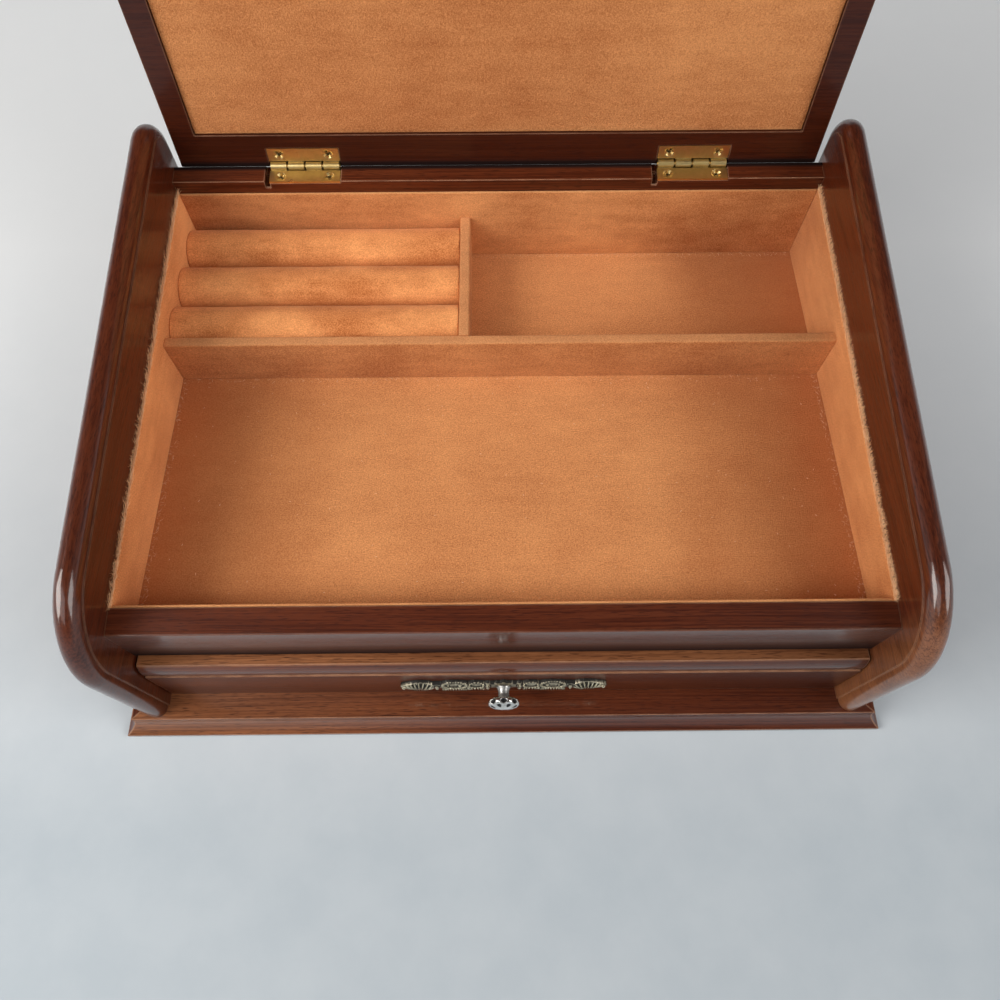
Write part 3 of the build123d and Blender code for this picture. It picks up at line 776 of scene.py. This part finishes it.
def buildScrewShape():
    radius, shank = crossScrew["headRadius"], crossScrew["shankRadius"]
    dish, taper = crossScrew["dish"], crossScrew["crossTaper"]
    lipRadius, lipDepth = crossScrew["lip"]
    screw = bmesh.new()

    def ringAt(scale, height):
        turns = turnsOf(crossScrew["rimSteps"])
        return [screw.verts.new((scale * math.cos(a), scale * math.sin(a), height)) for a in turns]

    rim = ringAt(radius, 0)
    lip = ringAt(radius * lipRadius, -dish * lipDepth)
    reach, half = crossScrew["crossReach"] * radius, crossScrew["crossHalfWidth"] * radius
    arm, corners = [(reach, -half), (reach, half), (half, half)], []
    for _ in range(4):
        corners += arm
        arm = [(-y, x) for x, y in arm]
    mouth = [screw.verts.new((x, y, -dish)) for x, y in corners]
    foot = [screw.verts.new((x * taper, y * taper, -crossScrew["crossDepth"])) for x, y in corners]
    skinRings(screw, [lip, rim])
    skinRings(screw, [mouth, foot])
    loops = [(ring[i - 1], ring[i]) for ring in (lip, mouth) for i in range(len(ring))]
    bmesh.ops.triangle_fill(screw, use_beauty=True, edges=[screw.edges.get(pair) for pair in loops])
    screw.faces.new(foot)
    neck = ringAt(shank, -crossScrew["headDepth"])
    tail = ringAt(shank, -crossScrew["length"])
    skinRings(screw, [rim, neck, tail])
    screw.faces.new(tail)
    bmesh.ops.recalc_face_normals(screw, faces=screw.faces)
    return addShape("screwShape", screw, smooth=False)


def screwPlaces(nodeName, facing):
    points = cornersOf(nodeName)
    points = points[np.argsort(points[:, 0])]
    groups = np.split(points, np.where(np.diff(points[:, 0]) > 2 * crossScrew["headRadius"])[0] + 1)
    facing = np.array(facing)
    return [crestOf(group, group @ facing) + crossScrew["proud"] * facing for group in groups]


def buildScrews(nodeName, body, facing):
    shape = buildScrewShape()
    bench, given, out = startGeometry("crossHeadScrews", {"Screw": "Object", "Facing": "Vector", "Seed": "Int"})
    screw = bench.add("GeometryNodeObjectInfo", {"Object": given["Screw"]}).outputs["Geometry"]
    aligned = bench.add("FunctionNodeAlignRotationToVector", {"Vector": given["Facing"]}, axis="Z").outputs[0]
    angle = bench.add("FunctionNodeRandomValue", {3: math.pi, "Seed": given["Seed"]}, data_type="FLOAT")
    twist = bench.add("FunctionNodeAxisAngleToRotation", {"Axis": (0, 0, 1), "Angle": angle.outputs[1]})
    feeds = {0: aligned, 1: twist.outputs[0]}
    turned = bench.add("FunctionNodeRotateRotation", feeds, rotation_space="LOCAL").outputs[0]
    feeds = {"Points": given["Geometry"], "Instance": screw, "Rotation": turned}
    placed = bench.add("GeometryNodeInstanceOnPoints", feeds).outputs[0]
    tree = endGeometry(bench, out, placed, materials["brass"])
    values = {"Screw": shape, "Facing": facing, "Seed": crossScrew["seed"]}
    piece = runGeometry("crossHead_" + nodeName, carrierOf(screwPlaces(nodeName, facing)), tree, values)
    bpy.data.objects.remove(shape)
    finishPiece(piece, nodeName, body)


lidOpening = math.radians(frame["record"]["behaviour"]["joints"][0]["range_deg"][1])
seatLean = crossScrew["seatSlope"]
lidLean = seatLean - lidOpening
buildScrews("box_leaf_screws", "case", (0, -math.sin(seatLean), math.cos(seatLean)))
buildScrews("lid_leaf_screws", "lid", (0, math.sin(lidLean), -math.cos(lidLean)))
print("cross-head screws set")


perMetre = 1000


# Cast backplate: a crowned relief with fan leaves at the ends, beads, serrated rings and a rosette under the
# knob. Places and sizes of the relief are in millimetres from the middle of the plate
backplate = {
    "step": 0.2,
    "crown": (-0.4, 6.2, 0.12),
    "web": (36.0, 3.2, 2.1),
    "leaf": {"root": 27.6, "tip": 42.0, "halfWidth": 4.9, "leastWidth": 0.01, "fullness": 0.75,
             "swell": (0.75, 0.7), "leastHeight": 0.55, "fan": (34.2, -5.6), "ribs": 30, "rim": 0.45,
             "height": 3.3},
    "rings": [
        {"place": (19.8, 2.6), "radii": (5.7, 2.6), "rim": 0.42, "height": 3.3, "teeth": 26, "floor": 1.9},
        {"place": (11.0, 2.3), "radii": (3.5, 2.4), "rim": 0.4, "height": 3.1, "teeth": 14, "floor": 1.9},
    ],
    "toothDepth": 0.12,
    "domes": [(27.0, 1.0, 1.3, 1.6, 2.9), (17.6, 2.2, 1.3, 1.1, 2.7), (22.4, 2.0, 0.7, 1.7, 2.5),
              (6.4, 1.6, 1.5, 2.2, 2.9), (14.2, 0.8, 0.9, 1.2, 3.0), (40.4, 0.0, 1.3, 1.2, 2.9)],
    "rosette": (4.6, 8, 2.6),
    "petalDepth": 0.1,
    "leastRelief": 0.1,
    "rimSmoothing": (3, 0.5),
    "dirtReach": 3,
    "dirtLevel": (0.26, 0.66),
}


def ridgeOf(distance, halfWidth):
    return np.sqrt(np.clip(1 - (distance / halfWidth) ** 2, 0, 1))


def ringRelief(across, upward, ring):
    (middleX, middleZ), (radiusX, radiusZ) = ring["place"], ring["radii"]
    shareAcross, shareUp = (across - middleX) / radiusX, (upward - middleZ) / radiusZ
    reach = np.hypot(shareAcross, shareUp)
    inner = 1 - ring["rim"] / radiusZ
    rim = ridgeOf((reach - inner) * radiusZ, ring["rim"])
    depth = backplate["toothDepth"]
    teeth = 1 - depth + depth * np.cos(ring["teeth"] * np.arctan2(shareUp, shareAcross))
    return np.maximum(ring["height"] * rim * teeth, ring["floor"] * (reach < inner))


def leafRelief(across, upward, leaf):
    share = np.clip((across - leaf["root"]) / (leaf["tip"] - leaf["root"]), 0, 1)
    wide, tall = (np.sin(math.pi * share ** power) for power in leaf["swell"])
    width = leaf["halfWidth"] * np.abs(wide) ** leaf["fullness"] + leaf["leastWidth"]
    inside = (across > leaf["root"]) & (across < leaf["tip"]) & (abs(upward) < width)
    fanX, fanZ = leaf["fan"]
    ribs = 0.5 + 0.5 * np.cos(leaf["ribs"] * np.arctan2(across - fanX, upward - fanZ))
    rim = ridgeOf(abs(upward) - width + leaf["rim"], leaf["rim"])
    body = 0.5 + 0.5 * ribs ** 2 * ridgeOf(upward, width)
    least = leaf["leastHeight"]
    return inside * leaf["height"] * (least + (1 - least) * tall) * np.maximum(body, rim)


def backplateRelief(across, upward):
    crest, spread, least = backplate["crown"]
    across, aside = abs(across), abs(upward - crest)
    length, width, level = backplate["web"]
    relief = level * ((across < length) & (aside < width))
    relief = np.maximum(relief, leafRelief(across, upward, backplate["leaf"]))
    for ring in backplate["rings"]:
        relief = np.maximum(relief, ringRelief(across, aside, ring))
    for x, z, radiusX, radiusZ, height in backplate["domes"]:
        reach = np.hypot((across - x) / radiusX, (aside - z) / radiusZ)
        relief = np.maximum(relief, height * ridgeOf(reach, 1.0))
    radius, petals, height = backplate["rosette"]
    depth = backplate["petalDepth"]
    lobes = radius * (1 - depth + depth * np.cos(petals * np.arctan2(upward, across)))
    relief = np.maximum(relief, height * np.sqrt(ridgeOf(np.hypot(across, upward), lobes)))
    return relief * (least + (1 - least) * np.cos(np.clip(aside / spread, 0, 1) * quarterTurn))


def hollowOf(relief):
    reach = range(-backplate["dirtReach"], backplate["dirtReach"] + 1)
    filled = np.where(relief > 0, relief, backplate["leaf"]["height"] / 2)
    around = np.mean([np.roll(filled, (i, j), (0, 1)) for i in reach for j in reach], 0)
    spread, level = backplate["dirtLevel"]
    return np.clip((around - relief) / spread + level, 0, 1)


def buildBackplate():
    low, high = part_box("drawer_backplate")
    middle = (low + high) / 2
    step = backplate["step"] / perMetre
    columns = np.arange(round((high.x - low.x) / step) + 1) * step + low.x
    rows = np.arange(round((high.z - low.z) / step) + 1) * step + low.z
    x, z = np.meshgrid(columns, rows)
    margin = backplate["dirtReach"]
    relief = np.pad(backplateRelief(perMetre * (x - middle.x), perMetre * (z - middle.z)), margin)
    hollow = hollowOf(relief)
    trim = slice(margin, -margin)
    relief, hollow = relief[trim, trim] / perMetre, hollow[trim, trim]
    solid = relief > backplate["leastRelief"] / perMetre
    plate = bmesh.new()
    layer = plate.verts.layers.float.new("hollow")
    corners = {}
    for row, column in zip(*np.nonzero(solid)):
        corner = plate.verts.new((x[row, column], high.y - relief[row, column], z[row, column]))
        corner[layer] = hollow[row, column]
        corners[row, column] = corner
    for row, column in corners:
        places = [(row, column), (row, column + 1), (row + 1, column + 1), (row + 1, column)]
        if all(place in corners for place in places):
            plate.faces.new([corners[place] for place in places])
    bmesh.ops.delete(plate, geom=[vert for vert in plate.verts if not vert.link_faces], context="VERTS")
    rounds, factor = backplate["rimSmoothing"]
    for _ in range(rounds):
        rim = [vert for vert in plate.verts if vert.is_boundary]
        bmesh.ops.smooth_vert(plate, verts=rim, factor=factor, use_axis_x=True, use_axis_z=True)
    skirt = bmesh.ops.extrude_edge_only(plate, edges=[edge for edge in plate.edges if edge.is_boundary])["geom"]
    for vert in skirt:
        if isinstance(vert, bmesh.types.BMVert):
            vert.co.y = high.y
            vert[layer] = 1.0
    bmesh.ops.recalc_face_normals(plate, faces=plate.faces)
    finishPiece(addShape("castBackplate", plate), "drawer_backplate", "drawer")


# Knob: turned foot, dull neck and a round head with two rows of eight oval hollows. The profile is
# (radius, height) in millimetres
knob = {
    "profile": [(0.0, 2.0), (2.7, 2.0), (2.8, 2.4), (2.6, 2.9), (2.4, 3.3), (2.2, 4.0), (2.1, 5.0),
                (2.3, 5.9), (3.0, 6.4), (4.4, 6.8), (5.5, 7.3), (6.2, 7.9), (6.5, 8.5), (6.5, 9.0),
                (6.25, 9.5), (5.75, 9.95), (5.1, 10.35), (4.2, 10.7), (3.0, 10.95), (1.6, 11.12), (0.0, 11.2)],
    "steps": 128,
    "between": 5,
    "hollows": 8,
    "neck": (6.2, 0.6),
    "hollowDirt": 2.2,
    "rows": [
        {"height": 8.7, "reach": (0.27, 1.15), "depth": 0.9, "shift": 0.0},
        {"height": 10.4, "reach": (0.2, 0.55), "depth": 0.35, "shift": 0.5},
    ],
}


def knobProfile():
    points = np.array(knob["profile"])
    run = np.concatenate([[0], np.cumsum(np.hypot(*np.diff(points, axis=0).T))])
    spans = [np.linspace(a, b, knob["between"], endpoint=False) for a, b in zip(run, run[1:])]
    fine = np.concatenate(spans + [run[-1:]])
    return np.interp(fine, run, points[:, 0]), np.interp(fine, run, points[:, 1])


def knobHollow(row, angle, height):
    pitch = 2 * math.pi / knob["hollows"]
    aside = (angle - quarterTurn + (0.5 - row["shift"]) * pitch) % pitch - pitch / 2
    reachAngle, reachHeight = row["reach"]
    sunk = max(0.0, 1 - (aside / reachAngle) ** 2 - ((height - row["height"]) / reachHeight) ** 2)
    return row["depth"] * sunk, sunk


def buildKnob():
    low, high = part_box("drawer_knob")
    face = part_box("drawer_backplate")[1].y
    axisX, axisZ = (low.x + high.x) / 2, (low.z + high.z) / 2
    neckTop, neckDirt = knob["neck"]
    head = bmesh.new()
    layer = head.verts.layers.float.new("hollow")
    rings = []
    for radius, height in zip(*knobProfile()):
        ring = []
        for angle in turnsOf(knob["steps"]):
            depth, sunk = max(knobHollow(row, angle, height) for row in knob["rows"])
            spread = (radius - depth) / perMetre
            x, z = axisX + spread * math.cos(angle), axisZ + spread * math.sin(angle)
            vert = head.verts.new((x, face - height / perMetre, z))
            vert[layer] = max(min(1.0, knob["hollowDirt"] * sunk), neckDirt * (height < neckTop))
            ring.append(vert)
        rings.append(ring)
    skinRings(head, rings)
    bmesh.ops.remove_doubles(head, verts=head.verts, dist=mergeReach)
    bmesh.ops.recalc_face_normals(head, faces=head.faces)
    finishPiece(addShape("castKnob", head), "drawer_knob", "drawer")


buildBackplate()
buildKnob()
print("drawer pull made")


# Loose fibres: a fringe against the panels, short pile on the dividers, lint and specks on the floor
looseFibres = {
    "sides": 3,
    "rings": [(0.0, 1.0, 0.0), (0.45, 0.85, 0.06), (1.0, 0.2, 0.26)],
    "kinds": {
        "panelFringe": {
            "count": 3800, "spread": (0.0005, 0.0006, 0.0002), "seed": 3, "finish": "fringeFibre",
            "tiltFrom": (-0.9, -0.25, -0.6), "tiltTo": (0.9, 0.25, 0.6),
            "lengthFrom": 0.0008, "lengthTo": 0.0040, "thickness": 0.021,
        },
        "boardPile": {
            "count": 1500, "spread": (0.0016, 0.0016, 0.0001), "seed": 8, "finish": "pileFibre",
            "tiltFrom": (-1.1, -1.1, 0.0), "tiltTo": (1.1, 1.1, 6.3),
            "lengthFrom": 0.0003, "lengthTo": 0.0008, "thickness": 0.03,
        },
        "floorLint": {
            "count": 190, "spread": (0.0011, 0.0011, 0.0001), "seed": 5, "finish": "lintFibre",
            "tiltFrom": (1.1, 0.0, 0.0), "tiltTo": (1.6, 0.0, 6.3),
            "lengthFrom": 0.0005, "lengthTo": 0.0018, "thickness": 0.05,
        },
        "floorSpecks": {
            "count": 90, "spread": (0.004, 0.017, 0.00005), "seed": 11, "finish": "lintFibre",
            "tiltFrom": (1.3, 0.0, 0.0), "tiltTo": (1.6, 0.0, 6.3),
            "lengthFrom": 0.0004, "lengthTo": 0.0010, "thickness": 0.16,
        },
    },
    "tones": {
        # The fringe tone is painted paler than the suede, standing in for light on the thin fibres
        "fringeFibre": (0.92, 0.62, 0.36),
        "pileFibre": (0.78, 0.42, 0.19),
        "lintFibre": (0.80, 0.56, 0.36),
    },
    "mottle": {"scale": 700, "detail": 2},
    "mottleBand": (0.3, 0.7, 0, 0.5),
    "roughness": 0.9,
    "lintInset": 1.2,
    "speckRows": 3,
}


def buildFibreFinish(name):
    if name in bpy.data.materials:
        return bpy.data.materials[name]
    material, bench, surface, place = startMaterial(name)
    mottle = bench.span(bench.noise(place, **looseFibres["mottle"]), *looseFibres["mottleBand"])
    colour = bench.mix(mottle, looseFibres["tones"][name], suede["lit"])
    bench.fill(surface, {"Base Color": colour, "Roughness": looseFibres["roughness"]})
    return material


def buildFibreShape(thickness):
    fibre = bmesh.new()
    rings = []
    for height, share, bend in looseFibres["rings"]:
        radius = share * thickness
        corners = [(bend + radius * math.cos(a), radius * math.sin(a)) for a in turnsOf(looseFibres["sides"])]
        rings.append([fibre.verts.new((*corner, height)) for corner in corners])
    skinRings(fibre, rings)
    fibre.faces.new(rings[-1])
    return addShape("fibreShape", fibre, smooth=False)


def buildFibreTree(material):
    inputs = {"fibre": "Object", "count": "Int", "spread": "Vector", "tiltFrom": "Vector", "tiltTo": "Vector",
              "lengthFrom": "Float", "lengthTo": "Float", "seed": "Int"}
    bench, given, out = startGeometry("looseFibres", inputs)

    def draw(kind, feeds, seedStep):
        seed = bench.math("ADD", given["seed"], seedStep)
        return bench.add("FunctionNodeRandomValue", {**feeds, "Seed": seed}, data_type=kind).outputs

    line = bench.add("GeometryNodeMeshToCurve", {0: given["Geometry"]}).outputs[0]
    spots = bench.add("GeometryNodeResampleCurve", {0: line, "Count": given["count"]}).outputs[0]
    back = bench.stretch(given["spread"], (-1, -1, -1))
    offset = draw("FLOAT_VECTOR", {0: back, 1: given["spread"]}, 0)[0]
    tilt = draw("FLOAT_VECTOR", {0: given["tiltFrom"], 1: given["tiltTo"]}, 1)[0]
    length = draw("FLOAT", {2: given["lengthFrom"], 3: given["lengthTo"]}, 2)[1]
    spots = bench.add("GeometryNodeSetPosition", {"Geometry": spots, "Offset": offset}).outputs[0]
    turn = bench.add("FunctionNodeEulerToRotation", {0: tilt}).outputs[0]
    fibre = bench.add("GeometryNodeObjectInfo", {"Object": given["fibre"]}).outputs["Geometry"]
    feeds = {"Points": spots, "Instance": fibre, "Rotation": turn, "Scale": length}
    return endGeometry(bench, out, bench.add("GeometryNodeInstanceOnPoints", feeds).outputs[0], material)


def topEdge(nodeName):
    points = cornersOf(nodeName)
    ends = []
    for y in (points[:, 1].min(), points[:, 1].max()):
        group = points[abs(points[:, 1] - y) < mergeReach]
        ends.append(crestOf(group, group[:, 2]))
    return ends


def boardTop(nodeName):
    low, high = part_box(nodeName)
    middle = (low + high) / 2
    if high.x - low.x > high.y - low.y:
        return [(low.x, middle.y, high.z), (high.x, middle.y, high.z)]
    return [(middle.x, low.y, high.z), (middle.x, high.y, high.z)]


def floorLines():
    left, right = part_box("left_lining")[1].x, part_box("right_lining")[0].x
    front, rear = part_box("front_lining")[1].y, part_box("rear_lining")[0].y
    foot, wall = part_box("long_divider")[0].y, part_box("short_divider")[1].x
    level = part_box("floor_lining")[1].z
    inset = looseFibres["kinds"]["floorLint"]["spread"][0] * looseFibres["lintInset"]
    edges = [[(left + inset, front, level), (left + inset, foot, level)],
             [(right - inset, front, level), (right - inset, foot, level)],
             [(left, foot - inset, level), (right, foot - inset, level)],
             [(wall + inset, rear - inset, level), (right, rear - inset, level)]]
    spreadX, spreadY, _ = looseFibres["kinds"]["floorSpecks"]["spread"]
    places = np.linspace(front + spreadY, foot - spreadY, looseFibres["speckRows"])
    rows = [[(left + 2 * spreadX, y, level), (right - 2 * spreadX, y, level)] for y in places]
    return edges, rows


def buildFibres(kindName, lines):
    kind = looseFibres["kinds"][kindName]
    points = [point for line in lines for point in line]
    carrier = carrierOf(points, [(2 * i, 2 * i + 1) for i in range(len(lines))])
    shape = buildFibreShape(kind["thickness"])
    tree = buildFibreTree(buildFibreFinish(kind["finish"]))
    piece = runGeometry(kindName, carrier, tree, {**kind, "fibre": shape})
    bpy.data.objects.remove(shape)
    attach(piece, "case")


buildFibres("panelFringe", [topEdge("left_lining"), topEdge("right_lining")])
buildFibres("boardPile", [boardTop("long_divider"), boardTop("short_divider")])
lintLines, speckLines = floorLines()
buildFibres("floorLint", lintLines)
buildFibres("floorSpecks", speckLines)
print("loose fibres laid")


# Pale floor, painted lighter towards the back and glowing far away, and soft studio light, with the main lamp
# on the left
studio = {
    "floorSize": 6.0,
    "floorFront": (0.46, 0.515, 0.56),
    "floorBackLit": (0.88, 0.90, 0.92),
    "floorTurn": (-0.16, 0.16),
    "ceiling": (0.055, 0.053, 0.051),
    "horizon": (0.60, 0.63, 0.65),
    "ceilingRise": (0.12, 0.5),
    "farGlow": (1.0, 2.7, 0, 0.78),
    "weave": {"scale": 35, "detail": 4, "rough": 0.6},
    "weaveBand": (0.35, 0.65, 0, 0.06),
    "weaveTone": (1, 1, 1),
    "roughness": 0.9,
    "lamps": {
        "leftSoftbox": {"place": (-0.95, -0.38, 0.80), "size": 0.7, "power": 13.6, "colour": (1.0, 0.97, 0.93)},
        "rightSoftbox": {"place": (1.9, -0.8, 1.6), "size": 1.5, "power": 35, "colour": (1.0, 0.98, 0.96)},
        "frontSoftbox": {"place": (-0.45, -0.85, 1.2), "size": 0.8, "power": 3.5, "colour": (1.0, 1.0, 1.0)},
    },
    "aim": (0, 0, 0.08),
}


def buildStudio():
    half = studio["floorSize"] / 2
    mesh = bpy.data.meshes.new("paleFloor")
    corners = [(-half, -half, 0), (half, -half, 0), (half, half, 0), (-half, half, 0)]
    mesh.from_pydata(corners, [], [(0, 1, 2, 3)])
    floor = addObject("paleFloor", mesh)
    material, bench, surface, place = startMaterial("paleCloth")
    # Painted light: the cloth grows lighter towards the back, where less lamp light reaches
    backward = boardBand(bench, place, "Y", *studio["floorTurn"])
    cloth = bench.mix(backward, studio["floorFront"], studio["floorBackLit"])
    weave = bench.span(bench.noise(place, **studio["weave"]), *studio["weaveBand"])
    away = bench.add("ShaderNodeVectorMath", {0: place}, operation="LENGTH").outputs["Value"]
    bench.fill(surface, {
        "Base Color": bench.mix(weave, cloth, studio["weaveTone"]),
        "Roughness": studio["roughness"],
        # Painted light: the floor glows far away, where it meets the horizon
        "Emission Color": studio["horizon"],
        "Emission Strength": bench.span(away, *studio["farGlow"]),
    })
    floor.data.materials.append(material)
    world = bpy.data.worlds.new("studioSky")
    world.use_nodes = True
    heaven = Bench(world.node_tree)
    aloft = heaven.part(heaven.add("ShaderNodeTexCoord").outputs["Generated"], "Z")
    tone = heaven.mix(heaven.span(aloft, *studio["ceilingRise"]), studio["horizon"], studio["ceiling"])
    heaven.feed(world.node_tree.nodes["Background"].inputs["Color"], tone)
    scene.world = world
    for name, lamp in studio["lamps"].items():
        light = bpy.data.lights.new(name, "AREA")
        light.energy = lamp["power"]
        light.size = lamp["size"]
        light.color = lamp["colour"]
        item = addObject(name, light)
        aim = Vector(studio["aim"]) - Vector(lamp["place"])
        turned = aim.to_track_quat("-Z", "Y").to_matrix().to_4x4()
        item.matrix_world = Matrix.Translation(lamp["place"]) @ turned


buildStudio()
print("studio built")
